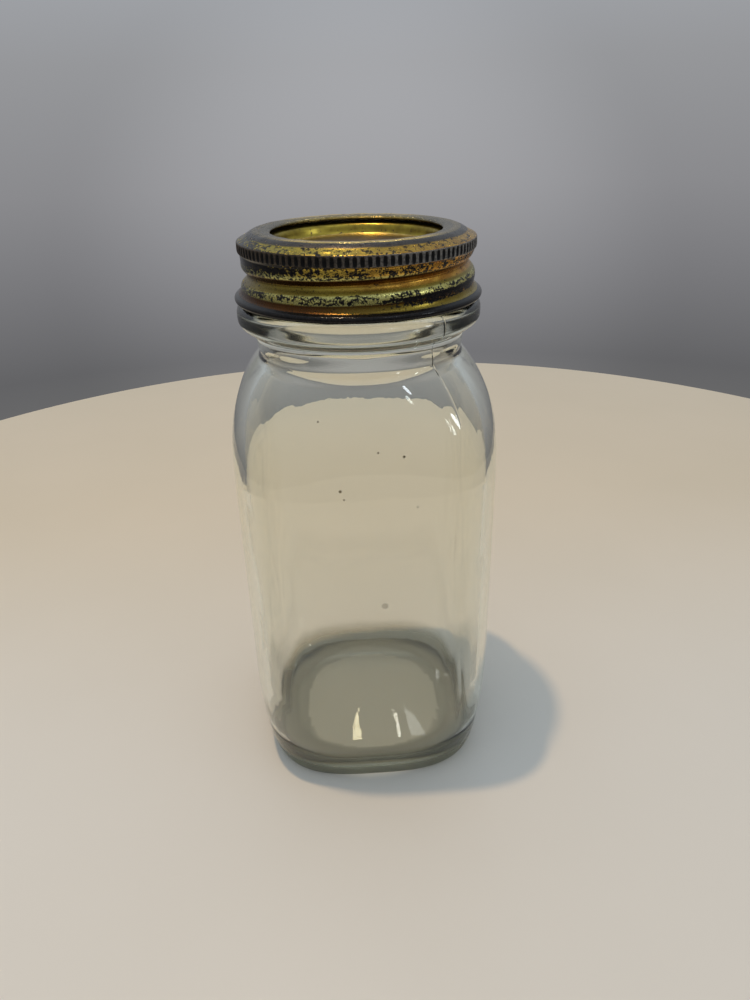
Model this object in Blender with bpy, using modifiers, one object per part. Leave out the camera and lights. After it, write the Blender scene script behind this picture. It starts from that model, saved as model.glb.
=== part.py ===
"""Square-bodied glass preserving jar with a lid disc, its sealing ring and a screw band.

Metres, +Z up. The origin is on the jar's axis, on the surface that the jar stands on.
Shapes are worked out in millimetres and scaled to metres when a mesh is made.
"""

import math

import bmesh
import bpy

MM = 0.001
STEPS = 48  # facets round each turned piece

# Body of the jar: half widths are taken across the flats
BODY_HALF = 42.0
FOOT_INNER = 29.5
FOOT_OUTER = 37.7
HEEL_TOP = 36.0
HEEL_POWER = 1.75  # 2 makes the heel a quarter ellipse, lower a flatter slope
SHOULDER_START = 112.0
SHOULDER_END = 148.0
SHOULDER_NECK = 31.0
NECK_ROUND = 153.0  # the neck is round from this height up
SHOULDER_POWER = 3.2
SQUARENESS_BODY = 3.6  # exponent of the section: 2 is a circle, higher is squarer
SQUARENESS_FOOT = 3.0
SQUARENESS_NECK = 2.35
SQUARENESS_FADE = 1.25
WALL = 3.0
WALL_GROWTH = 0.051  # the wall thickens this much for each mm of height on the shoulder
FLOOR_EDGE_HALF = 34.0
FLOOR_EDGE_Z = 4.5
INNER_HEEL_TOP = 20.0
PUSH_UP = 2.5
FLOOR_CENTRE_Z = 5.0

# Neck, bead and finish of the jar
MOUTH_R = 28.4
FINISH_R = 32.3
RIM_Z = 179.1
BEAD_R = 37.3
BEAD_BOTTOM_Z = 155.7
BEAD_TOP_Z = 162.8
BEAD_ROUND = 2.0

# Thread, shared by the jar's finish and the band
PITCH = 6.35
GROOVE_Z = 167.5  # height of the band's groove at +X on its first turn
GLASS_THREAD_LIFT = 2.6  # the jar's thread lies this far above the band's groove
GLASS_THREAD_R = 33.8
GLASS_THREAD_HALF = 1.8
GLASS_THREAD_TURN = (-90.0, 347.0)  # where it starts and ends, in degrees along the helix
GLASS_THREAD_FADE = 25.0

# Screw band
BAND_TOP_Z = 183.1
BAND_CREST_R = 30.0
BAND_LIP_R = 25.45
KNURL_R = 35.5
SHEET = 0.45
GROOVE_R = 33.1
GROOVE_HALF = 1.7
GROOVE_START = (-100.0, 150.0)  # grows to full depth between these, in degrees
GROOVE_END = (400.0, 480.0)  # dies out between these
BAND_BEAD_R = 1.05
BAND_BEAD_CENTRE = (36.45, 164.3)
# Outside of the band's wall under the knurl, as (radius, height)
BAND_WALL = [
    (34.75, 176.4),
    (34.7, 174.5),
    (35.1, 171.5),
    (35.4, 169.5),
    (35.3, 168.0),
    (35.3, 166.8),
    (35.7, 165.9),
]

# Lid disc and its sealing ring
LID_SHEET = 0.3
LID_TOP_Z = 180.8
LID_R = 33.6
PANEL_Z = 177.3
RING_R = (29.0, 32.9)
RING_Z = (179.4, 180.2)

ROW = 1.05  # spacing of the rows of points along a thread


def clear_scene():
    for obj in list(bpy.data.objects):
        bpy.data.objects.remove(obj)


def smoothstep(t):
    t = min(max(t, 0.0), 1.0)
    return t * t * (3.0 - 2.0 * t)


def mix(a, b, t):
    return a + (b - a) * t


def between(low, high, count):
    """count + 1 even values from low to high."""
    return [mix(low, high, i / count) for i in range(count + 1)]


def arc(centre, radius, start_deg, end_deg, count):
    """Points on an arc in the (radius, height) plane."""
    points = []
    for angle in between(math.radians(start_deg), math.radians(end_deg), count):
        points.append((centre[0] + radius * math.cos(angle), centre[1] + radius * math.sin(angle)))
    return points


def along(points, height):
    """The radius at a height on a line of (radius, height) points that run downwards."""
    for (r0, z0), (r1, z1) in zip(points, points[1:]):
        if z0 >= height >= z1:
            return mix(r0, r1, (z0 - height) / (z0 - z1))
    return points[-1][0]


# --- the jar's section and walls ---


def squareness(height):
    """The exponent of the jar's section at a height."""
    if height < HEEL_TOP:
        return mix(SQUARENESS_FOOT, SQUARENESS_BODY, height / HEEL_TOP)
    neck = mix(SQUARENESS_NECK, 2.0, smoothstep((height - SHOULDER_END) / (NECK_ROUND - SHOULDER_END)))
    return mix(SQUARENESS_BODY, neck, shoulder_share(height) ** SQUARENESS_FADE)


def section_factor(angle, exponent):
    """How far the section reaches at an angle, as a share of its half width across the flats."""
    c = abs(math.cos(angle))
    s = abs(math.sin(angle))
    return (c**exponent + s**exponent) ** (-1.0 / exponent)


def shoulder_share(height):
    """0 at the foot of the shoulder and 1 at the neck."""
    share = (height - SHOULDER_START) / (SHOULDER_END - SHOULDER_START)
    return min(max(share, 0.0), 1.0)


def outer_half(height):
    """The outside's half width across the flats, from the foot to the neck."""
    fall = 1.0 - min(height / HEEL_TOP, 1.0)
    half = mix(FOOT_OUTER, BODY_HALF, (1.0 - fall**HEEL_POWER) ** (1.0 / HEEL_POWER))
    return half - (BODY_HALF - SHOULDER_NECK) * shoulder_share(height) ** SHOULDER_POWER


def shoulder_inside(height):
    """The inside's point opposite an outside point on the shoulder, whose wall thickens upwards."""
    slope = (outer_half(height) - outer_half(height + 0.1)) / 0.1
    wall = (WALL + WALL_GROWTH * (height - SHOULDER_START)) / math.hypot(1.0, slope)
    return max(MOUTH_R, outer_half(height) - wall), height - wall * slope


def inner_heel(edge_half, edge_z, top_half, top_z, count):
    """The quarter ellipse from the edge of the floor up to the wall, as (half width, height)."""
    points = []
    for angle in between(0.0, math.pi / 2, count):
        height = edge_z + (top_z - edge_z) * (1.0 - math.cos(angle))
        points.append((mix(edge_half, top_half, math.sin(angle)), height))
    return points


def outer_heel(count):
    """The heel from the wall down to the foot, with its points closer together near the foot."""
    heights = [HEEL_TOP * (1.0 - math.cos(angle)) for angle in between(math.pi / 2, 0.0, count)]
    return [(outer_half(height), height) for height in heights]


def bead_profile(count):
    """The barrel-shaped bead below the band, from its top edge down."""
    middle = (BEAD_TOP_Z + BEAD_BOTTOM_Z) / 2
    half = (BEAD_TOP_Z - BEAD_BOTTOM_Z) / 2
    return [(BEAD_R - BEAD_ROUND * abs(u) ** 3.5, middle + half * u) for u in between(1.0, -1.0, count)]


def jar_profile():
    """From the floor's middle up inside, over the rim and down outside to the underside's middle."""
    inside = [(0.0, FLOOR_CENTRE_Z), (16.0, FLOOR_CENTRE_Z - 0.2), (26.0, FLOOR_EDGE_Z + 0.1)]
    inside += inner_heel(FLOOR_EDGE_HALF, FLOOR_EDGE_Z, BODY_HALF - WALL, INNER_HEEL_TOP, 6)
    inside += [shoulder_inside(z) for z in between(SHOULDER_START, SHOULDER_END - 0.5, 9)]
    inside += [(MOUTH_R, 163.0), (MOUTH_R, RIM_Z - 0.8), (MOUTH_R + 0.4, RIM_Z - 0.2)]
    finish = [(MOUTH_R + 1.1, RIM_Z), (31.3, RIM_Z), (32.0, RIM_Z - 0.3)]
    rows = round((RIM_Z - 1.0 - 163.9) / ROW)
    finish += [(FINISH_R, z) for z in between(RIM_Z - 1.0, 163.9, rows)]
    bead = [(FINISH_R + 0.1, BEAD_TOP_Z + 0.5), (FINISH_R + 0.9, BEAD_TOP_Z)] + bead_profile(10)
    neck = [(33.9, BEAD_BOTTOM_Z - 0.25), (33.0, BEAD_BOTTOM_Z - 1.2)]
    neck += [(32.4, BEAD_BOTTOM_Z - 3.2), (31.8, BEAD_BOTTOM_Z - 5.6)]
    outside = [(outer_half(z), z) for z in between(SHOULDER_END, SHOULDER_START, 10)]
    outside += outer_heel(9)
    under = [(FOOT_INNER, 0.0), (27.0, 1.2), (18.0, PUSH_UP - 0.2), (0.0, PUSH_UP)]
    return inside + finish + bead + neck + outside + under


def glass_thread(angle_deg, height):
    """How far the jar's thread stands out of its finish."""
    best = 0.0
    for turn in (-1, 0, 1):
        along_helix = angle_deg + 360.0 * turn
        start, end = GLASS_THREAD_TURN
        size = smoothstep((along_helix - start) / GLASS_THREAD_FADE)
        size *= smoothstep((end - along_helix) / GLASS_THREAD_FADE)
        off = height - (GROOVE_Z + GLASS_THREAD_LIFT + PITCH * along_helix / 360.0)
        if size > 0.0 and abs(off) < GLASS_THREAD_HALF:
            bump = math.cos(math.pi * off / (2.0 * GLASS_THREAD_HALF)) ** 2
            best = max(best, size * bump * (GLASS_THREAD_R - FINISH_R))
    return best


def shape_jar(radius, angle, height):
    """The jar's radius at a point of its turned blank: square below the neck, threaded on its finish."""
    if height < NECK_ROUND:
        return radius * section_factor(angle, squareness(height))
    if abs(radius - FINISH_R) < 0.01:
        return radius + glass_thread(math.degrees(angle) % 360.0, height)
    return radius


# --- the screw band ---

def groove_depth(along_helix):
    """The share of its full depth that the band's groove has, along the helix in degrees."""
    start, full = GROOVE_START
    fade, end = GROOVE_END
    growing = smoothstep((along_helix - start) / (full - start)) ** 1.5
    return growing * smoothstep((end - along_helix) / (end - fade))


def groove(angle_deg, height):
    """How far the band's wall is drawn in towards its groove, from 0 to 1."""
    best = 0.0
    for turn in (0, 1, -1):
        along_helix = angle_deg + 360.0 * turn
        off = (height - GROOVE_Z - PITCH * along_helix / 360.0) / GROOVE_HALF
        best = max(best, groove_depth(along_helix) * math.exp(-off * off))
    return best


def shape_band(radius, angle, height):
    """The band's radius at a point of its turned blank, with the groove rolled into its wall."""
    top, bottom = BAND_WALL[0][1], BAND_WALL[-1][1]
    if radius < 34.0 or not bottom < height < top:
        return radius
    drawn = groove(math.degrees(angle) % 360.0, height) * (along(BAND_WALL, height) - GROOVE_R)
    return radius - drawn


def band_profile():
    """Down the outside from the lip, round the rolled bead and up the inside, as a closed loop."""
    crest_r, top = BAND_CREST_R, BAND_TOP_Z
    outside = [(BAND_LIP_R + 0.3, top - 1.25), (BAND_LIP_R, top - 0.95), (BAND_LIP_R + 0.15, top - 0.6)]
    outside += [(BAND_LIP_R + 1.05, top - 0.3), (crest_r - 1.8, top - 0.1), (crest_r, top)]
    outside += [(crest_r + 1.2, top - 0.35), (crest_r + 2.2, top - 0.9), (crest_r + 3.0, top - 1.45)]
    outside += [(crest_r + 4.4, top - 2.15), (KNURL_R - 0.3, top - 2.6), (KNURL_R, top - 2.9)]
    outside += [(KNURL_R, top - 5.6), (KNURL_R - 0.4, top - 5.8), (KNURL_R - 0.7, top - 6.2)]
    rows = round((BAND_WALL[0][1] - BAND_WALL[-1][1]) / ROW)
    heights = between(BAND_WALL[0][1], BAND_WALL[-1][1], rows)
    outside += [(along(BAND_WALL, z), z) for z in heights]
    bead = arc(BAND_BEAD_CENTRE, BAND_BEAD_R, 70.0, -180.0, 6)
    inside = [(along(BAND_WALL, z) - SHEET, z) for z in reversed(heights)]
    inside += [(KNURL_R - 0.6, top - 5.7), (KNURL_R - 0.6, top - 3.1), (crest_r + 4.6, top - 2.75)]
    inside += [(crest_r + 2.9, top - 1.9), (crest_r + 1.9, top - 1.3), (crest_r + 1.0, top - 0.8)]
    inside += [(crest_r - 0.1, top - 0.45), (crest_r - 1.8, top - 0.5), (crest_r - 3.3, top - 0.7)]
    inside += [(crest_r - 3.9, top - 1.0)]
    return outside + bead + inside


# --- the lid disc and its ring ---


def lid_profile():
    """From the middle of the top face over the recessed panel and flange, and back along the underside."""
    step = LID_SHEET
    flange_in, wall_r = 26.2, 24.6
    top = [(0.0, PANEL_Z + 0.6), (18.0, PANEL_Z + 0.5), (20.0, PANEL_Z + 0.1), (22.8, PANEL_Z)]
    top += [(24.0, PANEL_Z + 0.2), (wall_r, PANEL_Z + 0.9), (24.9, LID_TOP_Z - 1.0), (25.4, LID_TOP_Z - 0.3)]
    top += [(flange_in, LID_TOP_Z), (LID_R - 1.1, LID_TOP_Z), (LID_R - 0.3, LID_TOP_Z - 0.3)]
    top += [(LID_R, LID_TOP_Z - 1.0), (LID_R, LID_TOP_Z - 2.1)]
    under = [(LID_R - step, LID_TOP_Z - 2.1), (LID_R - step, LID_TOP_Z - 1.05)]
    under += [(LID_R - 0.5, LID_TOP_Z - 0.55), (LID_R - 1.2, LID_TOP_Z - step)]
    under += [(flange_in + 0.15, LID_TOP_Z - step), (25.65, LID_TOP_Z - 0.55)]
    under += [(25.2, LID_TOP_Z - 1.15), (24.9, PANEL_Z + 0.8), (24.2, PANEL_Z - 0.05), (22.9, PANEL_Z - step)]
    under += [(19.9, PANEL_Z - 0.2), (17.9, PANEL_Z + 0.2), (0.0, PANEL_Z + 0.3)]
    return top + under


def ring_profile():
    """The sealing ring's section, with the outer top corner cut off to clear the lid's rounded edge."""
    inner, outer = RING_R
    low, high = RING_Z
    return [(inner, high), (outer - 0.5, high), (outer, high - 0.35), (outer, low), (inner, low)]


# --- making the pieces ---


def turned(name, profile, is_loop, shape):
    """A solid turned from a profile by a Screw modifier, its points then moved radially by shape."""
    blank = bpy.data.meshes.new(name + "_blank")
    edges = [(i, i + 1) for i in range(len(profile) - 1)]
    if is_loop:
        edges.append((len(profile) - 1, 0))
    blank.from_pydata([(r * MM, 0.0, z * MM) for r, z in profile], edges, [])
    holder = bpy.data.objects.new(name + "_blank", blank)
    bpy.context.scene.collection.objects.link(holder)
    screw = holder.modifiers.new("turn", "SCREW")
    screw.steps = STEPS
    screw.render_steps = STEPS
    screw.use_merge_vertices = True
    screw.merge_threshold = 0.00001
    bpy.context.view_layer.update()
    graph = bpy.context.evaluated_depsgraph_get()
    mesh = bpy.data.meshes.new_from_object(holder.evaluated_get(graph))
    mesh.name = name
    bpy.data.objects.remove(holder)
    bpy.data.meshes.remove(blank)
    if shape is not None:
        for vertex in mesh.vertices:
            reshape(vertex, shape)
    return mesh


def reshape(vertex, shape):
    x, y, z = vertex.co
    radius = math.hypot(x, y)
    if radius < 0.5 * MM:
        return
    wanted = shape(radius / MM, math.atan2(y, x), z / MM) * MM
    vertex.co.x = x * wanted / radius
    vertex.co.y = y * wanted / radius


def material(name, colour, metallic, roughness, transmission=0.0):
    finish = bpy.data.materials.new(name)
    finish.use_nodes = True
    shader = finish.node_tree.nodes["Principled BSDF"]
    shader.inputs["Base Color"].default_value = (*colour, 1.0)
    shader.inputs["Metallic"].default_value = metallic
    shader.inputs["Roughness"].default_value = roughness
    shader.inputs["Transmission Weight"].default_value = transmission
    finish.diffuse_color = (*colour, 1.0)
    return finish


def piece(name, mesh, finish, collection, parent):
    """Puts a finished mesh in the scene as one named piece, smooth apart from its sharp edges."""
    cleaned = bmesh.new()
    cleaned.from_mesh(mesh)
    bmesh.ops.recalc_face_normals(cleaned, faces=cleaned.faces)
    cleaned.to_mesh(mesh)
    cleaned.free()
    mesh.shade_smooth()
    mesh.set_sharp_from_angle(angle=math.radians(40))
    mesh.materials.clear()
    mesh.materials.append(finish)
    obj = bpy.data.objects.new(name, mesh)
    obj.parent = parent
    collection.objects.link(obj)
    return obj


def empty(name, collection, parent=None):
    obj = bpy.data.objects.new(name, None)
    obj.empty_display_size = 0.02
    obj.parent = parent
    collection.objects.link(obj)
    return obj


def build():
    clear_scene()
    collection = bpy.data.collections.new("specimen_jar")
    bpy.context.scene.collection.children.link(collection)
    glass = material("clear_glass", (0.86, 0.9, 0.87), 0.0, 0.03, 0.9)
    brass_lacquer = material("gold_lacquer", (0.45, 0.33, 0.09), 0.9, 0.35)
    tarnished = material("tarnished_band", (0.22, 0.17, 0.07), 0.85, 0.42)
    compound = material("sealing_compound", (0.16, 0.12, 0.1), 0.0, 0.6)
    # The lid rises on the axis, and the band turns about the same axis on top of it.
    lid_lift = empty("lid_lift", collection)
    band_axis = empty("band_axis", collection, lid_lift)
    jar_mesh = turned("glass_jar", jar_profile(), False, shape_jar)
    lid_mesh = turned("lid_disc", lid_profile(), False, None)
    ring_mesh = turned("sealing_ring", ring_profile(), True, None)
    band_mesh = turned("screw_band", band_profile(), True, shape_band)
    piece("glass_jar", jar_mesh, glass, collection, None)
    piece("lid_disc", lid_mesh, brass_lacquer, collection, lid_lift)
    piece("sealing_ring", ring_mesh, compound, collection, lid_lift)
    piece("screw_band", band_mesh, tarnished, collection, band_axis)


build()
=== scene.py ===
"""Looks of the specimen jar: fine meshes and materials for its glass, lid, sealing ring and screw band.

Heights, radii and spacings of the jar are in millimetres, and meshes are made in metres. The places and
sizes of the floor, lights and camera are in metres.
"""

import math
from types import SimpleNamespace

import bmesh
import bpy
import numpy as np
from mathutils import Matrix, Vector


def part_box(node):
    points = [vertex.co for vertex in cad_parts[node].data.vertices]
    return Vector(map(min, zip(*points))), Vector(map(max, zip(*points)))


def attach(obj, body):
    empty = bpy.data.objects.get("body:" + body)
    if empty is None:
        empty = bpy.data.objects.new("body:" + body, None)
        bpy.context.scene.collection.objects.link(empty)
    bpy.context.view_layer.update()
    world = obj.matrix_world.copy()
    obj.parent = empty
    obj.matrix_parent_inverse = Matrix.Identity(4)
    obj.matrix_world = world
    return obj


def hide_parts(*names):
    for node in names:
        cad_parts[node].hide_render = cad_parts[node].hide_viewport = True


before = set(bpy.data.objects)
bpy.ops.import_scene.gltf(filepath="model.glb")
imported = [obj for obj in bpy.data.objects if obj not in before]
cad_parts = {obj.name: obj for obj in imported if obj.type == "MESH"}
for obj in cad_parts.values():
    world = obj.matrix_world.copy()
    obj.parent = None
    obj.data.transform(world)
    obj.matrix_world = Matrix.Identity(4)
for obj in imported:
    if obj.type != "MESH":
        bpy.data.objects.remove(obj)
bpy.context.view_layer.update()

MM = 0.001
PHI = math.radians(3.0)  # the jar is turned this far anticlockwise from square to the camera


def box_of(node):
    low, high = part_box(node)
    return np.array(low) / MM, np.array(high) / MM


JAR_HIGH = box_of("glass_jar")[1]
BAND_HIGH = box_of("screw_band")[1]
LID_HIGH = box_of("lid_disc")[1]
RING_LOW, RING_HIGH = box_of("sealing_ring")

# Jar body and finish, as in the CAD solid
BODY_HALF = JAR_HIGH[0]
RIM_Z = JAR_HIGH[2]
WALL = 3.0
WALL_GROWTH = 0.051
FOOT = (29.5, 37.7)
HEEL_TOP = 36.0
HEEL_POWER = 1.75
SHOULDER = (112.0, 148.0)
NECK_HALF = 31.0
NECK_ROUND = 153.0
SHOULDER_POWER = 3.2
SQUARENESS = (3.0, 3.6, 2.35)
SQUARENESS_FADE = 1.25
FLOOR_EDGE = (34.0, 4.5)
INNER_HEEL_TOP = 20.0
MOUTH_R = 28.4
FINISH_R = 32.3
BEAD_R = 37.3
BEAD_Z = (155.7, 162.8)
BEAD_ROUND = 2.0

# Thread
PITCH = 6.35
GROOVE_Z = 167.5
THREAD_LIFT = 2.6
THREAD_R = 33.8
THREAD_HALF = 1.8
THREAD_TURN = (-90.0, 347.0)
THREAD_FADE = 25.0

# Band
BAND_TOP = BAND_HIGH[2]
CREST_R = 30.0
LIP_R = 25.45
KNURL_R = 35.5
KNURL_Z = (177.45, 180.2)
TEETH = 112
KNURL_DEPTH = 0.55
SHEET = 0.45
GROOVE_R = 33.1
GROOVE_HALF = 1.7
GROOVE_START = (-100.0, 150.0)
GROOVE_END = (400.0, 480.0)
BAND_BEAD = (36.45, 164.3, 1.05)
BAND_WALL = [(34.75, 176.4), (34.7, 174.5), (35.1, 171.5), (35.4, 169.5)]
BAND_WALL += [(35.3, 168.0), (35.3, 166.8), (35.7, 165.9)]

# Edges of the band's zones of wear, painted shade and highlight: heights on its wall, radii on its top
BEAD_TOP_Z = 165.55
SKIRT_TOP_Z = 167.5
# Top of the painted shade under the ridge at the right
RIDGE_SHADE_Z = 172.1
UPPER_WALL_Z = 174.85
BEVEL_Z = 180.55
LIP_EDGE_R = 28.5
CREST_EDGE_R = 30.7
BEVEL_EDGE_R = 32.65

# Lid
LID_R = LID_HIGH[0]
LID_TOP = 180.8
PANEL_Z = 177.3
LID_SHEET = 0.3

# Unevenness of each surface: the height, random seed and length of its waves
INSIDE_WAVES = (0.03, 3, 55.0)
INSIDE_RIPPLES = (0.012, 4, 20.0)
OUTSIDE_WAVES = (0.04, 5, 45.0)
CORNER_STREAKS = (0.13, 8, 7.0)
BAND_DENTS = (0.05, 11, 12.0)
BAND_PITS = (0.035, 12, 5.0)
FLANGE_WAVES = (0.05, 13, 9.0)
PANEL_WAVES = (0.06, 21, 14.0)


# --- numbers and profiles ---


def around(x, y, z):
    """A place given with the camera's side as -Y, in metres, turned to the jar's own frame."""
    return Matrix.Rotation(-PHI, 4, "Z") @ Vector((x, y, z))


def smoothstep(t):
    t = np.clip(t, 0.0, 1.0)
    return t * t * (3.0 - 2.0 * t)


def mix(a, b, t):
    return a + (b - a) * t


def arc(centre, radius, start_deg, end_deg, count):
    angles = np.radians(np.linspace(start_deg, end_deg, count + 1))
    return [(centre[0] + radius * math.cos(a), centre[1] + radius * math.sin(a)) for a in angles]


def soften(points, closed, times):
    """Cuts the corners of a line of points, so that each becomes a small round."""
    points = np.array(points, float)
    for _ in range(times):
        following = np.roll(points, -1, axis=0)
        near = 0.75 * points + 0.25 * following
        far = 0.25 * points + 0.75 * following
        cut = np.stack([near, far], axis=1).reshape(-1, 2)
        points = cut if closed else np.vstack([points[:1], cut[:-2], points[-1:]])
    return points


def spaced(points, closed, step):
    """Adds points so that none are further apart than step, which may depend on the place."""
    result = []
    ends = list(points[1:]) + ([points[0]] if closed else [])
    for a, b in zip(points, ends):
        count = max(1, math.ceil(np.hypot(*(b - a)) / step((a + b) / 2)))
        result += [mix(a, b, i / count) for i in range(count)]
    if not closed:
        result.append(points[-1])
    return np.array(result)


def noise_wave(theta, z, seed, period_mm, count=7):
    """A smooth uneven surface, mostly between -1 and 1: a sum of waves that close up round the axis."""
    rng = np.random.default_rng(seed)
    total = np.zeros(np.broadcast(theta, z).shape)
    for _ in range(count):
        turns = rng.integers(0, max(2, int(230 / period_mm)))
        rise = rng.uniform(-1.0, 1.0) * 2.0 * math.pi / period_mm
        total += np.sin(turns * theta + rise * z + rng.uniform(0, 2 * math.pi))
    return total / math.sqrt(count * 2.0)


def waves(theta, z, kind):
    height, seed, length = kind
    return height * noise_wave(theta, z, seed, length)


# --- building turned meshes ---


def turned(name, profile, closed, angles, shape):
    """A mesh turned from a profile (radius, height), each point's radius and height set by shape."""
    profile = np.array(profile, float)
    open_start = not closed and profile[0, 0] < 1e-6
    open_end = not closed and profile[-1, 0] < 1e-6
    inner = profile[(1 if open_start else 0):(len(profile) - 1 if open_end else len(profile))]
    radius = np.repeat(inner[:, :1], len(angles), axis=1)
    height = np.repeat(inner[:, 1:], len(angles), axis=1)
    theta = np.repeat(angles[None, :], len(inner), axis=0)
    radius, height = shape(radius, theta, height)
    points = np.stack([radius * np.cos(theta), radius * np.sin(theta), height], axis=-1)
    points = points.reshape(-1, 3)
    rows, columns = radius.shape
    index = np.arange(rows * columns).reshape(rows, columns)
    below = np.roll(index, -1, axis=0) if closed else index[1:]
    above = index if closed else index[:-1]
    quads = np.stack([above, np.roll(above, -1, axis=1), np.roll(below, -1, axis=1), below], axis=-1)
    faces = [tuple(q) for q in quads.reshape(-1, 4).tolist()]
    for is_open, row, point in ((open_start, 0, profile[0]), (open_end, rows - 1, profile[-1])):
        if is_open:
            pole = len(points)
            points = np.vstack([points, [[0.0, 0.0, point[1]]]])
            ring = index[row].tolist()
            faces += [(pole, b, a) for a, b in zip(ring, ring[1:] + ring[:1])]
    mesh = bpy.data.meshes.new(name)
    mesh.from_pydata((points * MM).tolist(), [], faces)
    tidy = bmesh.new()
    tidy.from_mesh(mesh)
    bmesh.ops.recalc_face_normals(tidy, faces=tidy.faces)
    tidy.to_mesh(mesh)
    tidy.free()
    mesh.shade_smooth()
    obj = bpy.data.objects.new(name, mesh)
    bpy.context.scene.collection.objects.link(obj)
    return obj, radius, theta, height


def add_values(obj, name, values):
    """Stores one number per point, which the piece's material reads. Poles get the first point's number."""
    flat = np.asarray(values, float).reshape(-1)
    missing = len(obj.data.vertices) - len(flat)
    flat = np.concatenate([flat, np.full(missing, flat[0])]).astype(np.float32)
    attribute = obj.data.attributes.new(name, "FLOAT", "POINT")
    attribute.data.foreach_set("value", flat)


def even_angles(count):
    return np.linspace(0.0, 2.0 * math.pi, count, endpoint=False)


# --- the glass jar ---

# The two mould seams: their directions, and the degrees on both sides of each that get close angles
SEAMS = tuple(math.radians(degrees) % (2 * math.pi) for degrees in (-53.0, 127.0))
SEAM_STEPS = (-0.9, -0.6, -0.35, -0.15, 0.0, 0.15, 0.35, 0.6, 0.9)
SEAM_HALF_DEG = 0.5
SEAM_HEIGHT = 0.14
SEAM_START_Z = 130.0
BORE_ROUND_Z = (142.5, 146.0)


def seam_angles(count):
    """Even angles, with a few close ones at the two mould seams."""
    extra = [seam + math.radians(step) for seam in SEAMS for step in SEAM_STEPS]
    return np.unique(np.concatenate([even_angles(count), np.array(extra) % (2 * math.pi)]))


def shoulder_share(z):
    return np.clip((z - SHOULDER[0]) / (SHOULDER[1] - SHOULDER[0]), 0.0, 1.0)


def squareness(z):
    foot, body, neck = SQUARENESS
    low = mix(foot, body, np.clip(z / HEEL_TOP, 0, 1))
    high = mix(neck, 2.0, smoothstep((z - SHOULDER[1]) / (NECK_ROUND - SHOULDER[1])))
    return mix(low, high, shoulder_share(z) ** SQUARENESS_FADE)


def section_factor(theta, exponent):
    return (np.abs(np.cos(theta)) ** exponent + np.abs(np.sin(theta)) ** exponent) ** (-1.0 / exponent)


def outer_half(z):
    """The outside's half width across the flats, from the foot to the neck."""
    fall = 1.0 - np.clip(z / HEEL_TOP, 0.0, 1.0)
    half = mix(FOOT[1], BODY_HALF, (1.0 - fall**HEEL_POWER) ** (1.0 / HEEL_POWER))
    return half - (BODY_HALF - NECK_HALF) * shoulder_share(z) ** SHOULDER_POWER


def shoulder_inside(z):
    """The inside's point opposite an outside point on the shoulder, whose wall thickens upwards."""
    slope = (outer_half(z) - outer_half(z + 0.1)) / 0.1
    wall = (WALL + WALL_GROWTH * (z - SHOULDER[0])) / math.hypot(1.0, slope)
    return max(MOUTH_R, outer_half(z) - wall), z - wall * slope


def inner_heel(edge_half, edge_z, top_half, top_z, count):
    """A quarter of an ellipse, from the edge of the floor up to the wall."""
    angles = np.linspace(0.0, math.pi / 2, count + 1)
    return [(mix(edge_half, top_half, math.sin(a)), mix(edge_z, top_z, 1 - math.cos(a))) for a in angles]


def bead_profile(count):
    middle, half = (BEAD_Z[1] + BEAD_Z[0]) / 2, (BEAD_Z[1] - BEAD_Z[0]) / 2
    shares = np.linspace(1.0, -1.0, count + 1)
    return [(BEAD_R - BEAD_ROUND * abs(u) ** 3.5, middle + half * u) for u in shares]


def jar_profile():
    inside = [(0.0, 5.0), (8.0, 4.95), (16.0, 4.8), (26.0, 4.6), (30.0, 4.53)]
    inside += inner_heel(FLOOR_EDGE[0], FLOOR_EDGE[1], BODY_HALF - WALL, INNER_HEEL_TOP, 14)
    inside += [(BODY_HALF - WALL, z) for z in (50.0, 80.0, 100.0, 108.0, 110.5)]
    inside += [shoulder_inside(float(z)) for z in np.linspace(SHOULDER[0], SHOULDER[1] - 0.3, 36)]
    inside += [(MOUTH_R, 163.0), (MOUTH_R, RIM_Z - 0.8), (MOUTH_R + 0.4, RIM_Z - 0.1)]
    finish = [(MOUTH_R + 1.3, RIM_Z), (31.1, RIM_Z), (32.2, RIM_Z - 0.1), (FINISH_R, RIM_Z - 1.0)]
    bead = [(FINISH_R, BEAD_Z[1] + 1.1), (FINISH_R + 0.1, BEAD_Z[1] + 0.5), (FINISH_R + 0.9, BEAD_Z[1])]
    bead += bead_profile(18)
    neck = [(33.9, BEAD_Z[0] - 0.25), (33.0, BEAD_Z[0] - 1.2)]
    neck += [(32.4, BEAD_Z[0] - 3.2), (31.8, BEAD_Z[0] - 5.6)]
    outside = [(float(outer_half(z)), z) for z in np.linspace(SHOULDER[1], SHOULDER[0], 36)]
    outside += [(BODY_HALF, z) for z in (100.0, 70.0, 45.0)]
    heights = HEEL_TOP * (1.0 - np.cos(np.linspace(math.pi / 2, 0.0, 28)))
    outside += [(float(outer_half(z)), z) for z in heights]
    # The underside rises more gently than the solid's and lies up to 0.8 mm below it, because a steep one
    # shows as a white arc through the base.
    under = [(FOOT[0], 0.0), (27.0, 0.45), (22.0, 1.3), (15.0, 2.15), (6.0, 2.45), (0.0, 2.5)]
    points = soften(inside + finish + bead + neck + outside + under, False, 2)
    # The piece stays within its solid's height, and stands on the floor.
    points[:, 1] = np.clip(points[:, 1], 0.0, RIM_Z)
    return spaced(points, False, lambda p: 0.35 if p[0] > 31.5 and p[1] > 150.0 else 2.0)


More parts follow.
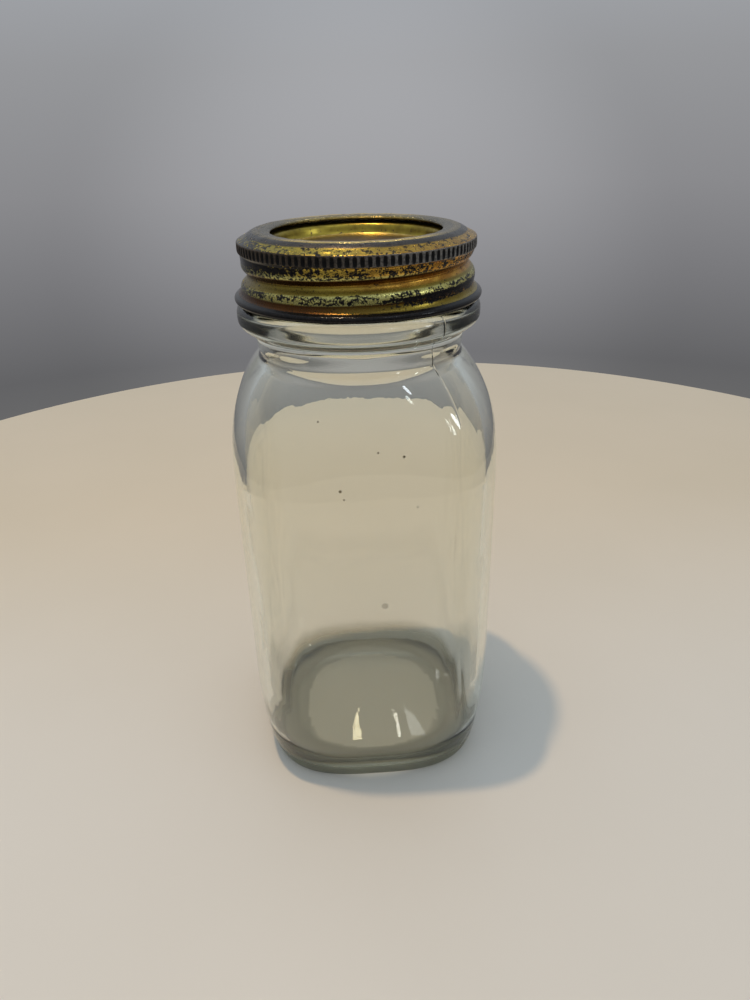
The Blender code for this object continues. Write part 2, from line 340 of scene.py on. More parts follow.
def thread_height(theta, z):
    degrees = np.degrees(theta) % 360.0
    best = np.zeros_like(z)
    for turn in (-1, 0, 1):
        along = degrees + 360.0 * turn
        starts = smoothstep((along - THREAD_TURN[0]) / THREAD_FADE)
        ends = smoothstep((THREAD_TURN[1] - along) / THREAD_FADE)
        off = z - (GROOVE_Z + THREAD_LIFT + PITCH * along / 360.0)
        bump = np.where(np.abs(off) < THREAD_HALF, np.cos(math.pi * off / (2 * THREAD_HALF)) ** 2, 0.0)
        best = np.maximum(best, starts * ends * bump * (THREAD_R - FINISH_R))
    return best


def shape_jar(radius, theta, z):
    is_inside = np.zeros_like(z, bool)
    is_inside[:int(np.argmax(z[:, 0]))] = True
    # The bore turns round a little lower than the outside does.
    turning = (z - BORE_ROUND_Z[0]) / (BORE_ROUND_Z[1] - BORE_ROUND_Z[0])
    bore = np.where(is_inside, smoothstep(turning), 0.0)
    factor = np.where(z < NECK_ROUND, section_factor(theta, mix(squareness(z), 2.0, bore)), 1.0)
    shaped = radius * factor
    wall = (np.abs(radius - FINISH_R) < 0.02) & (z > BEAD_Z[1] + 0.7)
    shaped = shaped + np.where(wall, thread_height(theta, z), 0.0)
    # The blown inside is uneven, the moulded outside much less.
    in_body = smoothstep((z - 8.0) / 12.0) * smoothstep((150.0 - z) / 12.0)
    uneven = waves(theta, z, INSIDE_WAVES) + waves(theta, z, INSIDE_RIPPLES)
    shaped = shaped + np.where(is_inside, in_body * uneven, 0.0)
    corner = np.abs(np.sin(2.0 * theta)) ** 4
    outer_uneven = waves(theta, z, OUTSIDE_WAVES) + corner * waves(theta, 0.1 * z, CORNER_STREAKS)
    shaped = shaped - np.where(is_inside, 0.0, in_body * np.abs(outer_uneven))
    # The mould seams stand out of the outside by a hair.
    off = np.minimum(*[np.abs((theta - s + math.pi) % (2 * math.pi) - math.pi) for s in SEAMS])
    seam_height = SEAM_HEIGHT * smoothstep((z - SEAM_START_Z) / 10.0) * smoothstep((BEAD_Z[1] - z) / 0.4)
    ridge = seam_height * smoothstep(1.0 - np.degrees(off) / SEAM_HALF_DEG)
    shaped = shaped + np.where(is_inside, 0.0, ridge)
    largest = np.maximum(radius * factor, BODY_HALF * factor)
    return np.where(is_inside, shaped, np.minimum(shaped, largest)), z


def glass_jar():
    obj, radius, _, z = turned("jar_glass", jar_profile(), False, seam_angles(240), shape_jar)
    # The foot is worn and tinted with painted shade, its bearing ring more so.
    outside = np.arange(len(z))[:, None] > int(np.argmax(z[:, 0]))
    add_values(obj, "foot_wear_and_shade", np.where(outside, smoothstep((12.0 - z) / 9.0), 0.0))
    # The inner heel is darkened with painted shade.
    heel_shade_share = smoothstep((z - 4.3) / 0.4) * smoothstep((14.0 - z) / 7.0)
    add_values(obj, "heel_painted_shade", np.where(outside, 0.0, heel_shade_share * smoothstep((radius - 28.5) / 3.0)))
    on_ring = outside & (radius > 27.0)
    add_values(obj, "foot_ring", np.where(on_ring, smoothstep((1.6 - z) / 1.2), 0.0))
    # The bead is worn.
    in_bead = smoothstep((z - BEAD_Z[0] + 2.0) / 2.0) * smoothstep((BEAD_Z[1] + 0.6 - z) / 0.6)
    add_values(obj, "bead_wear", np.where(outside, in_bead, 0.0))
    obj.data.materials.append(clear_glass())
    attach(obj, "jar")
    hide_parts("glass_jar")
    return obj


# --- the screw band ---


def along_wall(z):
    heights = [p[1] for p in reversed(BAND_WALL)]
    radii = [p[0] for p in reversed(BAND_WALL)]
    return np.interp(z, heights, radii)


def groove_depth(along):
    start, full = GROOVE_START
    fade, end = GROOVE_END
    return smoothstep((along - start) / (full - start)) ** 1.5 * smoothstep((end - along) / (end - fade))


def groove(theta, z):
    degrees = np.degrees(theta) % 360.0
    best = np.zeros_like(z)
    for turn in (0, 1, -1):
        along = degrees + 360.0 * turn
        off = (z - GROOVE_Z - PITCH * along / 360.0) / GROOVE_HALF
        best = np.maximum(best, groove_depth(along) * np.exp(-off * off))
    return best


def band_profile():
    top = BAND_TOP
    outside = [(LIP_R + 0.3, top - 1.25), (LIP_R, top - 0.95), (LIP_R + 0.15, top - 0.6)]
    outside += [(LIP_R + 1.05, top - 0.3), (CREST_R - 1.8, top - 0.1), (CREST_R, top)]
    outside += [(CREST_R + 1.2, top - 0.35), (CREST_R + 2.2, top - 0.9), (CREST_R + 3.0, top - 1.45)]
    outside += [(CREST_R + 4.4, top - 2.15), (KNURL_R - 0.25, top - 2.55), (KNURL_R, top - 2.85)]
    outside += [(KNURL_R, top - 3.3), (KNURL_R, top - 5.3), (KNURL_R - 0.3, top - 5.75)]
    outside += [(KNURL_R - 0.7, top - 6.2)]
    heights = np.linspace(BAND_WALL[0][1], BAND_WALL[-1][1], 20)
    outside += [(along_wall(z), z) for z in heights]
    bead = arc(BAND_BEAD[:2], BAND_BEAD[2], 70.0, -180.0, 10)
    inside = [(along_wall(z) - SHEET, z) for z in heights[::-1]]
    inside += [(KNURL_R - 0.6, top - 5.7), (KNURL_R - 0.6, top - 3.1), (CREST_R + 4.6, top - 2.75)]
    inside += [(CREST_R + 2.9, top - 1.9), (CREST_R + 1.9, top - 1.3), (CREST_R + 1.0, top - 0.8)]
    inside += [(CREST_R - 0.1, top - 0.45), (CREST_R - 1.8, top - 0.5), (CREST_R - 3.3, top - 0.7)]
    inside += [(CREST_R - 3.9, top - 1.0)]
    points = soften(outside + bead + inside, True, 2)
    return spaced(points, True, lambda p: 0.25 if p[1] > 176.5 else 0.4)


def knurl_hollow(theta, z):
    """How deep the knurl's oval hollows are at a point, from 0 to 1."""
    middle = (KNURL_Z[0] + KNURL_Z[1]) / 2
    half = (KNURL_Z[1] - KNURL_Z[0]) / 2
    across = np.cos(TEETH * theta)
    tall = np.clip(1.0 - ((z - middle) / half) ** 2, 0.0, 1.0)
    return smoothstep((across + 0.35) / 1.0) * tall**0.6


def shape_band(radius, theta, z):
    wall_top, wall_bottom = BAND_WALL[0][1], BAND_WALL[-1][1]
    in_wall = (radius > 34.0) & (z < wall_top) & (z > wall_bottom)
    drawn = np.where(in_wall, groove(theta, z) * (along_wall(z) - GROOVE_R), 0.0)
    outer = (radius > KNURL_R - 0.35) & (z > KNURL_Z[0]) & (z < KNURL_Z[1] + 0.1)
    hollow = np.where(outer, knurl_hollow(theta, z), 0.0)
    dents = waves(theta, z, BAND_DENTS) + waves(theta, z, BAND_PITS)
    flange = smoothstep((radius - 24.0) / 3.0)
    lower = smoothstep((z - 165.2) / 1.0)
    rise = np.where(z > 181.0, waves(theta, radius, FLANGE_WAVES) * flange, 0.0)
    new_z = np.minimum(z + rise, BAND_TOP)
    return radius - drawn - KNURL_DEPTH * hollow + dents * lower * 0.8, new_z


def screw_band():
    obj, radius, theta, z = turned("band_metal", band_profile(), True, even_angles(TEETH * 8), shape_band)
    outer_r = KNURL_R - 0.6
    rim = (z > KNURL_Z[0] - 0.1) & (z < KNURL_Z[1] + 0.3) & (radius > outer_r - 0.5)
    add_values(obj, "knurl", np.where(rim, 0.25 + 0.75 * knurl_hollow(theta, z), 0.0))
    along = 2.0 * math.pi * (z - GROOVE_Z) / PITCH - theta
    add_values(obj, "ridge", 0.5 - 0.5 * np.cos(along))
    add_values(obj, "slope", np.sin(along))
    bottom_row = int(np.argmin(z[:, 0]))
    add_values(obj, "inside", np.arange(len(z))[:, None] + 0.0 * z > bottom_row + 4)
    obj.data.materials.append(band_metal())
    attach(obj, "band")
    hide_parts("screw_band")
    return obj


# --- the lid disc and its ring ---


def lid_profile():
    step, flange_in, wall_r = LID_SHEET, 26.2, 24.6
    top = [(0.0, PANEL_Z + 0.6), (9.0, PANEL_Z + 0.58), (18.0, PANEL_Z + 0.5)]
    top += [(20.0, PANEL_Z + 0.1), (22.8, PANEL_Z), (24.0, PANEL_Z + 0.2)]
    top += [(wall_r, PANEL_Z + 0.9), (24.9, LID_TOP - 1.0), (25.4, LID_TOP - 0.3)]
    top += [(flange_in, LID_TOP), (LID_R - 1.1, LID_TOP), (LID_R - 0.3, LID_TOP - 0.3)]
    top += [(LID_R, LID_TOP - 1.0), (LID_R, LID_TOP - 2.1)]
    under = [(LID_R - step, LID_TOP - 2.1), (LID_R - step, LID_TOP - 1.05), (LID_R - 0.5, LID_TOP - 0.55)]
    under += [(LID_R - 1.2, LID_TOP - step), (flange_in + 0.15, LID_TOP - step), (25.65, LID_TOP - 0.55)]
    under += [(25.2, LID_TOP - 1.15), (24.9, PANEL_Z + 0.8), (24.2, PANEL_Z - 0.05), (22.9, PANEL_Z - step)]
    under += [(19.9, PANEL_Z - 0.2), (17.9, PANEL_Z + 0.2), (9.0, PANEL_Z + 0.28), (0.0, PANEL_Z + 0.3)]
    points = soften(top + under, False, 2)
    return spaced(points, False, lambda p: 0.6)


def shape_lid(radius, theta, z):
    on_panel = smoothstep((23.0 - radius) / 6.0) * smoothstep((radius - 3.0) / 11.0)
    sag = waves(theta, radius, PANEL_WAVES) * on_panel
    return radius, z + sag


def lid_disc():
    obj, *_ = turned("lid_metal", lid_profile(), False, even_angles(256), shape_lid)
    obj.data.materials.append(lid_metal())
    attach(obj, "lid")
    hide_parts("lid_disc")
    return obj


def sealing_ring():
    inner, outer = 29.0, RING_HIGH[0]
    low, high = RING_LOW[2], RING_HIGH[2]
    profile = [(inner, high), (outer - 0.5, high), (outer, high - 0.35), (outer, low), (inner, low)]
    points = spaced(soften(profile, True, 3), True, lambda p: 0.3)
    obj, *_ = turned("ring_compound", points, True, even_angles(192), lambda r, t, h: (r, h))
    obj.data.materials.append(sealing_compound())
    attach(obj, "lid")
    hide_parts("sealing_ring")
    return obj


# --- materials ---


def rgb(red, green, blue):
    """A colour given as it looks on a screen, from 0 to 255, as linear values with alpha."""
    values = []
    for value in (red, green, blue):
        share = value / 255.0
        values.append(share / 12.92 if share <= 0.04045 else ((share + 0.055) / 1.055) ** 2.4)
    return (*values, 1.0)


class Nodes:
    """Short names for making a material's nodes and links."""

    def __init__(self, name):
        self.material = bpy.data.materials.new(name)
        self.material.use_nodes = True
        self.tree = self.material.node_tree
        self.shader = self.tree.nodes["Principled BSDF"]
        self.place = self.tree.nodes.new("ShaderNodeTexCoord").outputs["Object"]

    def node(self, kind, **settings):
        made = self.tree.nodes.new("ShaderNode" + kind)
        for key, value in settings.items():
            setattr(made, key, value)
        return made

    def put(self, socket, value):
        if isinstance(value, bpy.types.NodeSocket):
            self.tree.links.new(value, socket)
        else:
            socket.default_value = value

    def math(self, operation, a, b=0.0, c=0.0):
        made = self.node("Math", operation=operation)
        for socket, value in zip(made.inputs, (a, b, c)):
            self.put(socket, value)
        return made.outputs[0]

    def times(self, first, *others):
        for other in others:
            first = self.math("MULTIPLY", first, other)
        return first

    def plus(self, first, *others):
        for other in others:
            first = self.math("ADD", first, other)
        return first

    def from_axis(self, x, y):
        return self.math("SQRT", self.plus(self.times(x, x), self.times(y, y)))

    def noise(self, scale, detail=3.0, roughness=0.55, distortion=0.0, place=None):
        made = self.node("TexNoise")
        self.put(made.inputs["Vector"], place or self.place)
        made.inputs["Scale"].default_value = scale
        made.inputs["Detail"].default_value = detail
        made.inputs["Roughness"].default_value = roughness
        made.inputs["Distortion"].default_value = distortion
        return made.outputs["Fac"]

    def stretched(self, x, y, z):
        made = self.node("Mapping")
        self.put(made.inputs["Vector"], self.place)
        made.inputs["Scale"].default_value = (x, y, z)
        return made.outputs["Vector"]

    def step(self, value, low, high, to_low=0.0, to_high=1.0):
        made = self.node("MapRange", interpolation_type="SMOOTHSTEP")
        for key, amount in (("Value", value), ("From Min", low), ("From Max", high)):
            self.put(made.inputs[key], amount)
        made.inputs["To Min"].default_value = to_low
        made.inputs["To Max"].default_value = to_high
        return made.outputs["Result"]

    def blend(self, share, a, b):
        made = self.node("Mix", data_type="RGBA")
        self.put(made.inputs[0], share)
        self.put(made.inputs[6], a)
        self.put(made.inputs[7], b)
        return made.outputs[2]

    def blend_number(self, share, a, b):
        made = self.node("Mix", data_type="FLOAT")
        self.put(made.inputs[0], share)
        self.put(made.inputs[2], a)
        self.put(made.inputs[3], b)
        return made.outputs[0]

    def values(self, name):
        return self.node("Attribute", attribute_name=name).outputs["Fac"]

    def bump(self, height, distance, strength=1.0, normal=None):
        made = self.node("Bump")
        self.put(made.inputs["Height"], height)
        made.inputs["Distance"].default_value = distance
        made.inputs["Strength"].default_value = strength
        if normal is not None:
            self.put(made.inputs["Normal"], normal)
        return made.outputs["Normal"]

    def place_mm(self):
        split = self.node("SeparateXYZ")
        self.put(split.inputs[0], self.place)
        return [self.math("MULTIPLY", split.outputs[axis], 1.0 / MM) for axis in "XYZ"]


# Dark seeds in the front wall, given with the camera's side as -Y: place, radius and darkness
SEEDS = [
    (-6.4, -42.3, 116.8, 0.65, 1.0),
    (-5.4, -42.3, 114.1, 0.45, 0.9),
    (12.0, -40.7, 126.5, 0.55, 1.0),
    (4.7, -41.0, 128.0, 0.45, 0.9),
    (-11.8, -38.5, 136.8, 0.42, 0.9),
    (15.9, -41.0, 110.5, 0.35, 0.9),
    (5.8, -41.8, 76.3, 1.4, 0.6),
]


def clear_glass():
    """Old pressed glass: nearly colourless, faintly uneven, with a few dark seeds in it."""
    m = Nodes("jar_glass")
    seed = 0.0
    for x, y, z, size, darkness in SEEDS:
        gap = m.node("VectorMath", operation="DISTANCE")
        m.put(gap.inputs[0], m.place)
        gap.inputs[1].default_value = around(x * MM, y * MM, z * MM)
        shade = m.step(gap.outputs["Value"], 0.5 * size * MM, size * MM, darkness, 0.0)
        seed = m.math("MAXIMUM", seed, shade)
    # Painted shade tints the foot, its bearing ring more, and the inner heel.
    tinted = m.blend(m.times(m.values("foot_wear_and_shade"), 0.8), rgb(250, 250, 247), rgb(176, 174, 156))
    tinted = m.blend(m.values("heel_painted_shade"), tinted, rgb(172, 169, 152))
    tinted = m.blend(m.values("foot_ring"), tinted, rgb(128, 128, 112))
    m.put(m.shader.inputs["Base Color"], m.blend(seed, tinted, rgb(70, 62, 48)))
    m.shader.inputs["Transmission Weight"].default_value = 1.0
    m.shader.inputs["IOR"].default_value = 1.5
    smudge = m.step(m.noise(38.0, 4.0, 0.6, 0.6), 0.55, 0.75)
    worn = m.math("MAXIMUM", m.times(m.values("foot_wear_and_shade"), 0.34), m.times(m.values("bead_wear"), 0.13))
    m.put(m.shader.inputs["Roughness"], m.math("MAXIMUM", worn, m.blend_number(smudge, 0.0, 0.035)))
    # The faces are faintly wavy, and the base is smooth.
    above_base = m.step(m.place_mm()[2], 8.0, 20.0)
    swell = m.times(m.noise(120.0, 2.0, 0.5, place=m.stretched(1.0, 1.0, 0.45)), above_base)
    ripples = m.times(m.noise(320.0, 2.0, 0.5), above_base)
    m.put(m.shader.inputs["Normal"], m.bump(ripples, 0.00001, normal=m.bump(swell, 0.000025)))
    absorb = m.node("VolumeAbsorption")
    absorb.inputs["Color"].default_value = (0.88, 0.93, 0.58, 1.0)
    absorb.inputs["Density"].default_value = 20.0
    m.tree.links.new(absorb.outputs[0], m.tree.nodes["Material Output"].inputs["Volume"])
    return m.material


def band_zones(m):
    """How far a point lies in each zone of the band, from 0 to 1. Right is the camera's right."""
    x, y, z = m.place_mm()
    radius = m.from_axis(x, y)
    above_groove = m.step(m.values("slope"), 0.1, 0.6)
    upper_wall = m.step(z, UPPER_WALL_Z - 0.45, UPPER_WALL_Z + 0.45)
    low_wall = m.step(z, RIDGE_SHADE_Z + 0.5, RIDGE_SHADE_Z - 0.5)
    return SimpleNamespace(
        right=m.step(x, -18.0, 22.0),
        far_left=m.step(x, -22.0, -33.0),
        sides=m.step(m.math("ABSOLUTE", x), 15.0, 25.0),
        above_groove=above_groove,
        ridge=m.step(m.values("ridge"), 0.55, 0.8),
        groove=m.step(m.values("ridge"), 0.45, 0.15),
        bead=m.step(z, BEAD_TOP_Z + 0.2, BEAD_TOP_Z - 0.2),
        skirt=m.step(z, SKIRT_TOP_Z + 0.4, SKIRT_TOP_Z - 0.4),
        upper_wall=upper_wall,
        upper_wall_left=m.times(upper_wall, m.step(x, -12.0, -26.0)),
        # Painted shade under the ridge at the right
        ridge_shade=m.times(above_groove, low_wall, m.step(x, 0.0, 16.0)),
        top=m.step(z, BEVEL_Z - 0.15, BEVEL_Z + 0.15),
        crest=m.step(radius, LIP_EDGE_R - 0.3, LIP_EDGE_R + 0.3),
        grey_ring=m.step(radius, CREST_EDGE_R - 0.2, CREST_EDGE_R + 0.2),
        bevel=m.step(radius, BEVEL_EDGE_R - 0.25, BEVEL_EDGE_R + 0.25),
    )


def band_grain(m):
    return SimpleNamespace(
        fine=m.noise(1700.0, 4.0, 0.65),
        fleck=m.noise(820.0, 4.0, 0.7, 0.5),
        coarse=m.noise(260.0, 3.0, 0.6, 0.4),
        broad=m.noise(55.0, 2.0, 0.5),
        streak=m.noise(650.0, 3.0, 0.65, place=m.stretched(1.0, 1.0, 3.5)),
    )


def band_lacquer(m, zone, grain):
    """The lacquer's colour, where there is any, with painted shade, highlight and reflection in it."""
    coarse = grain.coarse
    olive = m.blend(m.step(grain.broad, 0.35, 0.65), rgb(146, 127, 52), rgb(116, 98, 40))
    orange = m.blend(m.step(coarse, 0.35, 0.65), rgb(206, 156, 66), rgb(162, 108, 42))

    # The wall: olive, painted shade in dark brown above the groove, orange where it is rubbed, pale on the
    # ridges
    groove_shade = m.blend(coarse, rgb(84, 50, 18), rgb(56, 34, 14))
    wall = m.blend(zone.above_groove, olive, groove_shade)
    wall = m.blend(m.times(zone.right, 0.8, zone.groove), wall, orange)
    # The pale on the ridges is partly a painted highlight.
    wall = m.blend(zone.ridge, wall, m.blend(coarse, rgb(206, 204, 134), rgb(156, 138, 66)))
    brown = m.blend(coarse, rgb(88, 56, 28), rgb(62, 41, 22))
    wall = m.blend(zone.skirt, wall, m.blend(zone.right, brown, olive))
    gold = m.blend(coarse, rgb(212, 190, 84), rgb(170, 132, 56))
    wall = m.blend(zone.upper_wall, wall, m.blend(zone.right, gold, orange))

    # The top: aged lip, painted highlight on the crest, dark grey ring and olive bevel; lip and crest are
    # dull at the sides
    aged = m.blend(coarse, rgb(158, 140, 78), rgb(104, 88, 48))
    crest_highlight = m.blend(coarse, rgb(240, 210, 120), rgb(188, 158, 78))
    dull = m.blend(coarse, rgb(104, 98, 82), rgb(70, 64, 52))
    # The grey ring is tarnish, and partly a painted reflection of the grey wall behind.
    grey = m.blend(coarse, rgb(92, 87, 82), rgb(58, 54, 52))
    bevel = m.blend(grain.broad, rgb(186, 170, 78), rgb(140, 124, 50))
    top = m.blend(m.times(zone.sides, 0.85), m.blend(zone.crest, aged, crest_highlight), dull)
    top = m.blend(zone.grey_ring, top, grey)
    top = m.blend(zone.bevel, top, m.blend(m.times(zone.right, 0.6), bevel, orange))
    return m.blend(zone.top, wall, top)


def band_bare(m, zone, grain):
    """The dark plate's share, from 0 to 1: bare flecks crowding where most worn, and painted shade under the
    ridge.
    """
    wear = m.times(zone.ridge, 0.085, m.math("SUBTRACT", 1.0, zone.skirt))
    upper_wear = m.times(zone.upper_wall, m.math("SUBTRACT", 0.1, m.times(zone.right, 0.08)))
    wear = m.math("MAXIMUM", wear, upper_wear)
    # Painted shade: dark flecks crowd under the ridge at the right.
    wear = m.plus(wear, m.times(zone.ridge_shade, 0.13), m.times(zone.upper_wall_left, 0.06))
    top_wear = m.plus(m.times(zone.top, zone.bevel, 0.04), 0.015)
    wear = m.blend_number(zone.top, wear, top_wear)
    wear = m.plus(wear, m.times(zone.far_left, m.blend_number(zone.top, 0.04, 0.08)), zone.bead)
    flecks = m.plus(m.times(grain.fleck, 0.5), m.times(grain.streak, 0.25), m.times(grain.fine, 0.25))
    return m.step(m.plus(flecks, wear), 0.575, 0.605)


def band_metal():
    """Gold-lacquered tinplate: worn to flecks on the ridges, brown with painted shade in the grooves, black
    in the knurl.
    """
    m = Nodes("band_metal")
    zone, grain = band_zones(m), band_grain(m)
    fine, knurl = grain.fine, m.values("knurl")
    bare = band_bare(m, zone, grain)
    plate = m.blend(m.step(fine, 0.4, 0.65), rgb(9, 7, 8), rgb(30, 26, 24))
    colour = m.blend(bare, band_lacquer(m, zone, grain), plate)

    # The knurl: worn ribs, brown at the left and grey at the right, between black hollows
    on_knurl = m.step(knurl, 0.1, 0.2)
    grime = m.step(fine, 0.35, 0.7)
    brown_rib = m.blend(grime, rgb(74, 63, 50), rgb(36, 31, 27))
    grey_rib = m.blend(grime, rgb(134, 130, 124), rgb(70, 66, 62))
    rib = m.blend(zone.right, brown_rib, grey_rib)
    colour = m.blend(on_knurl, colour, m.blend(m.step(knurl, 0.3, 0.46), rib, rgb(12, 11, 11)))

    # The bare tinned inside
    tin = m.blend(grain.coarse, rgb(204, 198, 184), rgb(168, 160, 144))
    m.put(m.shader.inputs["Base Color"], m.blend(m.values("inside"), colour, tin))
    m.put(m.shader.inputs["Metallic"], m.blend_number(m.math("MAXIMUM", bare, on_knurl), 0.95, 0.2))
    rough = m.blend_number(bare, m.blend_number(fine, 0.2, 0.36), 0.16)
    m.put(m.shader.inputs["Roughness"], m.blend_number(on_knurl, rough, 0.42))
    m.shader.inputs["Specular IOR Level"].default_value = 0.22
    relief = m.plus(m.times(bare, -0.7), m.times(fine, 0.5))
    m.put(m.shader.inputs["Normal"], m.bump(relief, 0.00007))
    return m.material


def lid_metal():
    """Aged gold lacquer with dark specks, and a painted highlight at the edge of the panel."""
    m = Nodes("lid_metal")
    x, y, _ = m.place_mm()
    radius = m.from_axis(x, y)
    fine = m.noise(1500.0, 4.0, 0.65)
    fleck = m.noise(620.0, 4.0, 0.7, 0.4)
    coarse = m.noise(220.0, 3.0, 0.6, 0.3)
    olive = m.blend(m.step(coarse, 0.35, 0.7), rgb(164, 146, 58), rgb(124, 106, 44))
    # A painted highlight on the edge of the panel
    panel_edge_highlight = m.blend(m.step(fine, 0.4, 0.6), rgb(238, 220, 150), rgb(186, 156, 84))
    brown = m.blend(coarse, rgb(128, 96, 66), rgb(92, 66, 54))
    colour = m.blend(m.step(radius, 23.9, 24.3), panel_edge_highlight, olive)
    colour = m.blend(m.step(radius, 22.6, 22.0), colour, brown)
    patch = m.plus(m.times(fine, 0.4), m.times(fleck, 0.6))
    speck = m.step(m.plus(patch, m.times(m.step(radius, 23.2, 22.6), 0.03)), 0.585, 0.62)
    m.put(m.shader.inputs["Base Color"], m.blend(speck, colour, rgb(54, 36, 28)))
    m.put(m.shader.inputs["Metallic"], m.blend_number(speck, 0.9, 0.5))
    m.put(m.shader.inputs["Roughness"], m.blend_number(speck, 0.3, 0.45))
    m.put(m.shader.inputs["Normal"], m.bump(m.times(fine, 0.5), 0.00006))
    return m.material


def sealing_compound():
    m = Nodes("ring_compound")
    grain = m.noise(900.0, 3.0, 0.6)
    m.put(m.shader.inputs["Base Color"], m.blend(grain, rgb(120, 52, 38), rgb(84, 38, 30)))
    m.shader.inputs["Roughness"].default_value = 0.6
    m.put(m.shader.inputs["Normal"], m.bump(grain, 0.0001))
    return m.material


def floor_material():
    """Pale paint, creamier towards the back."""
    m = Nodes("floor_paint")
    soft = m.noise(9.0, 3.0, 0.5)
    split = m.node("SeparateXYZ")
    m.put(split.inputs[0], m.place)
    pale = m.blend(soft, rgb(228, 224, 215), rgb(221, 217, 207))
    cream = m.blend(soft, rgb(222, 209, 186), rgb(213, 201, 177))
    far = m.step(split.outputs["Y"], -0.06, 0.2)
    m.put(m.shader.inputs["Base Color"], m.blend(far, pale, cream))
    m.shader.inputs["Roughness"].default_value = 0.5
    # Light that the jar's thick glass foot gathers onto the floor under it.
    reach = m.from_axis(split.outputs["X"], split.outputs["Y"])
    glow = m.step(reach, FOOT_GLOW_EDGE[0], FOOT_GLOW_EDGE[1], FOOT_GLOW, 0.0)
    m.shader.inputs["Emission Color"].default_value = (0.95, 0.85, 0.66, 1.0)
    m.put(m.shader.inputs["Emission Strength"], glow)
    return m.material


# --- floor, light and camera ---

# The key light: place, target, width, power and colour
KEY = ((-0.152, 0.0, 1.03), (0.0, 0.0, 0.1), 0.035, 3.25, (1.0, 0.71, 0.42))

# Windows and lamps that only show as reflections: the point on the jar that mirrors each to the front, its
# azimuth and elevation from there, its width, height, radiance and colour
DAYLIGHT = (0.86, 0.94, 1.0)
GLINTS = {
    "window_high": ((0.012, -0.033, 0.143), 139.0, 54.0, 0.05, 0.16, 16.0, DAYLIGHT),
    "window_low": ((0.027, -0.034, 0.134), 112.0, 21.0, 0.07, 0.3, 16.0, DAYLIGHT),
    "lamp_warm": ((-0.006, -0.021, 0.005), -2.9, 44.1, 0.02, 0.018, 90.0, (1.0, 0.88, 0.6)),
    "lamp_white": ((0.0097, -0.021, 0.005), 2.9, 43.7, 0.014, 0.015, 80.0, (1.0, 0.97, 0.9)),
    "lamp_soft": ((0.0145, -0.02, 0.005), 7.0, 43.2, 0.06, 0.03, 3.5, (0.95, 0.97, 1.0)),
}
GLINT_DISTANCE = 1.2

# Colours of the surroundings from straight down, at 0, to straight up, at 1
WALL_COLOURS = [
    (0.0, rgb(128, 127, 122)),
    (0.3, rgb(112, 112, 110)),
    (0.36, rgb(99, 99, 101)),
    (0.42, rgb(124, 124, 127)),
    (0.46, rgb(138, 138, 141)),
    (0.525, rgb(150, 151, 154)),
    (0.6, rgb(168, 172, 178)),
    (1.0, rgb(206, 218, 230)),
]

# The pool of light on the wall behind the jar: its direction, the cosines at its edge and middle, and the
# brightness outside it and in its middle
POOL_DIRECTION = (0.0, 0.978, -0.208)
POOL_COSINES = (0.925, 1.0)
POOL_BRIGHTNESS = (1.0, 1.4)

FLOOR_RADIUS = 0.42
FLOOR_PLACE = (0.01, 0.04, -0.0002)
FOOT_GLOW = 0.25
FOOT_GLOW_EDGE = (0.036, 0.041)

CAMERA_PLACE = (0.00349, -0.23372, 0.21362)
CAMERA_PITCH = 27.52
CAMERA_ROLL = -1.45
CAMERA_LENS = 27.04


def floor_disc():
    mesh = bpy.data.meshes.new("floor")
    tidy = bmesh.new()
    bmesh.ops.create_circle(tidy, cap_ends=True, segments=256, radius=FLOOR_RADIUS)
    tidy.to_mesh(mesh)
    tidy.free()
    obj = bpy.data.objects.new("floor", mesh)
    bpy.context.scene.collection.objects.link(obj)
    mesh.transform(Matrix.Translation(around(*FLOOR_PLACE)))
    mesh.materials.append(floor_material())


def area_light(name, place, target, size, watts, colour):
    data = bpy.data.lights.new(name, "AREA")
    data.shape = "DISK"
    data.size = size
    data.energy = watts
    data.color = colour
    obj = bpy.data.objects.new(name, data)
    bpy.context.scene.collection.objects.link(obj)
    obj.location = around(*place)
    direction = around(*target) - obj.location
    obj.rotation_euler = direction.to_track_quat("-Z", "Y").to_euler()
    return obj


def glint(name, target, azimuth, elevation, width, height, radiance, colour):
    """A lamp or window seen only in reflections, placed by its direction from a point on the jar.

    The azimuth runs from the side away from the camera towards the right. Both angles are in degrees.
    """
    turn, rise = math.radians(azimuth), math.radians(elevation)
    direction = Vector((math.sin(turn) * math.cos(rise), math.cos(turn) * math.cos(rise), math.sin(rise)))
    place = Vector(target) + GLINT_DISTANCE * direction
    watts = radiance * math.pi * width * height
    obj = area_light(name, place, target, width, watts, colour)
    obj.data.shape = "RECTANGLE"
    obj.data.size_y = height
    obj.visible_diffuse = False


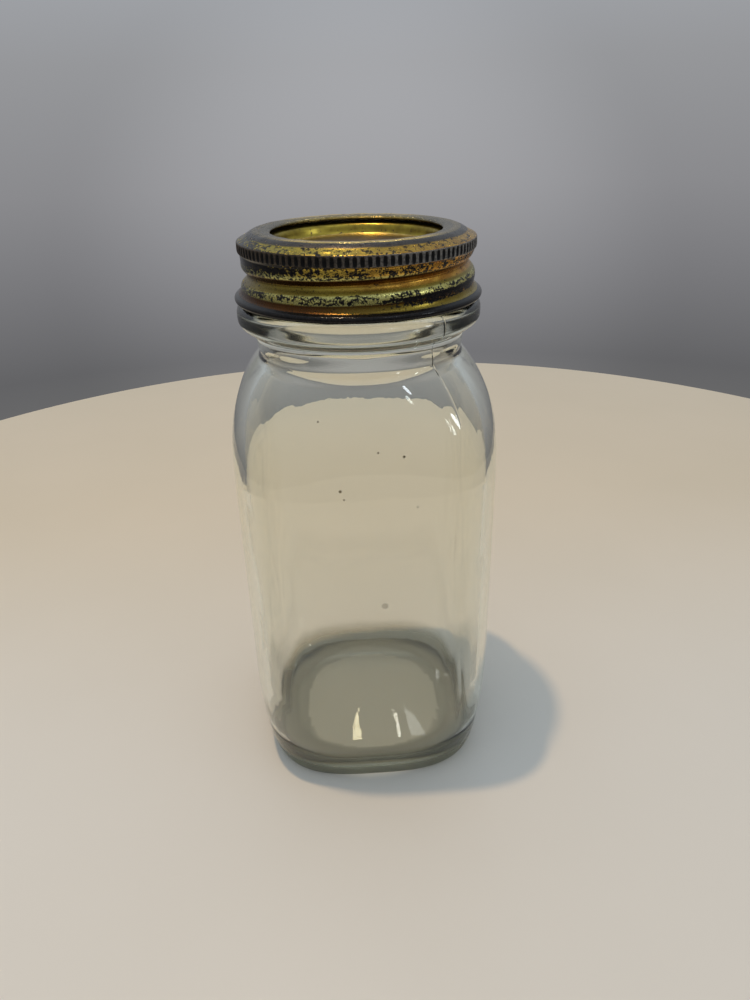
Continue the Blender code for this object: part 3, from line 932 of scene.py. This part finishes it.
def studio():
    area_light("key", *KEY)
    for name, values in GLINTS.items():
        glint(name, *values)
    world = bpy.data.worlds.new("studio")
    world.use_nodes = True
    bpy.context.scene.world = world
    tree = world.node_tree
    background = tree.nodes["Background"]
    place = tree.nodes.new("ShaderNodeTexCoord")
    split = tree.nodes.new("ShaderNodeSeparateXYZ")
    tree.links.new(place.outputs["Generated"], split.inputs[0])
    ramp = tree.nodes.new("ShaderNodeValToRGB")
    share = tree.nodes.new("ShaderNodeMapRange")
    tree.links.new(split.outputs["Z"], share.inputs["Value"])
    share.inputs["From Min"].default_value = -1.0
    share.inputs["From Max"].default_value = 1.0
    tree.links.new(share.outputs[0], ramp.inputs[0])
    stops = ramp.color_ramp.elements
    stops[0].position, stops[0].color = WALL_COLOURS[0]
    stops[1].position, stops[1].color = WALL_COLOURS[-1]
    for position, colour in WALL_COLOURS[1:-1]:
        stops.new(position).color = colour
    tree.links.new(ramp.outputs[0], background.inputs["Color"])

    pool = tree.nodes.new("ShaderNodeVectorMath")
    pool.operation = "DOT_PRODUCT"
    tree.links.new(place.outputs["Generated"], pool.inputs[0])
    pool.inputs[1].default_value = around(*POOL_DIRECTION)
    lift = tree.nodes.new("ShaderNodeMapRange")
    lift.interpolation_type = "SMOOTHSTEP"
    tree.links.new(pool.outputs["Value"], lift.inputs["Value"])
    for socket, value in zip(lift.inputs[1:5], POOL_COSINES + POOL_BRIGHTNESS):
        socket.default_value = value
    tree.links.new(lift.outputs[0], background.inputs["Strength"])


def camera():
    data = bpy.data.cameras.new("camera")
    data.sensor_width = 36.0
    data.lens = CAMERA_LENS
    data.clip_start = 0.01
    data.clip_end = 20.0
    obj = bpy.data.objects.new("camera", data)
    bpy.context.scene.collection.objects.link(obj)
    pitch, roll = math.radians(CAMERA_PITCH), math.radians(CAMERA_ROLL)
    place = Matrix.Translation(Vector(CAMERA_PLACE))
    turn = Matrix.Rotation(math.pi / 2 - pitch, 4, "X") @ Matrix.Rotation(roll, 4, "Z")
    obj.matrix_world = Matrix.Rotation(-PHI, 4, "Z") @ place @ turn
    bpy.context.scene.camera = obj


glass_jar()
screw_band()
lid_disc()
sealing_ring()
floor_disc()
studio()
camera()
bpy.context.scene.view_settings.view_transform = "Standard"
